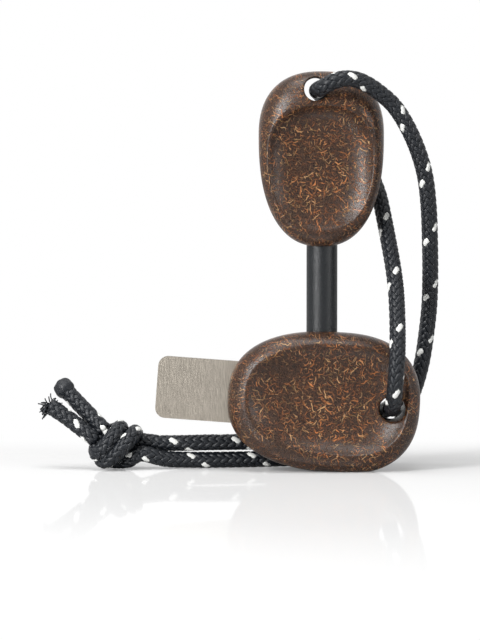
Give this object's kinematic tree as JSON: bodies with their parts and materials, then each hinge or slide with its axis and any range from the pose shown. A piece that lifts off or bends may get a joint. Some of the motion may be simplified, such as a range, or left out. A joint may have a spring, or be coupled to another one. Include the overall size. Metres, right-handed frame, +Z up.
{
  "type": "ferro rod fire starter",
  "caption": "Ferrocerium rod fire starter: pebble-shaped composite handles, a steel striker blade and a braided lanyard. The rod stores upright in a socket in the striker's handle.",
  "frame": {"origin": "on the surface the object stands on, at the middle of the striker handle's flat and in the parting plane of both handles", "axes": "+Z up along the stored rod, +X along the striker handle towards its cord hole, -Y towards the thumb dishes"},
  "size_m": [0.0829, 0.0275, 0.0838],
  "materials": {
    "composite": "satin moulded wood-fibre composite, dark brown with tan and orange curled fibres",
    "coated_ferrocerium": "satin black coating with a fine grain",
    "blade_steel": "brushed across the blade",
    "adhesive": "cured clear amber glue",
    "braided_cord": "braided polyester, black with one white tracer yarn"
  },
  "bodies": {
    "striker_tool": {"striker_handle": "composite", "striker_blade": "blade_steel", "blade_adhesive": "adhesive", "lanyard_outer_loop": "braided_cord", "lanyard_inner_loop": "braided_cord", "lanyard_outer_return": "braided_cord", "lanyard_inner_return": "braided_cord", "lanyard_knot": "braided_cord", "lanyard_sealed_tail": "braided_cord", "lanyard_frayed_tail": "braided_cord"},
    "rod_tool": {"rod_handle": "composite", "ferro_rod": "coated_ferrocerium", "rod_adhesive": "adhesive"}
  },
  "joints": [
    {"name": "rod_pull", "type": "slide", "parent": "striker_tool", "child": "rod_tool", "axis": [0, 0, 1], "range_m": [0, 0.018], "deforming": ["lanyard_outer_loop", "lanyard_inner_loop"]}
  ]
}
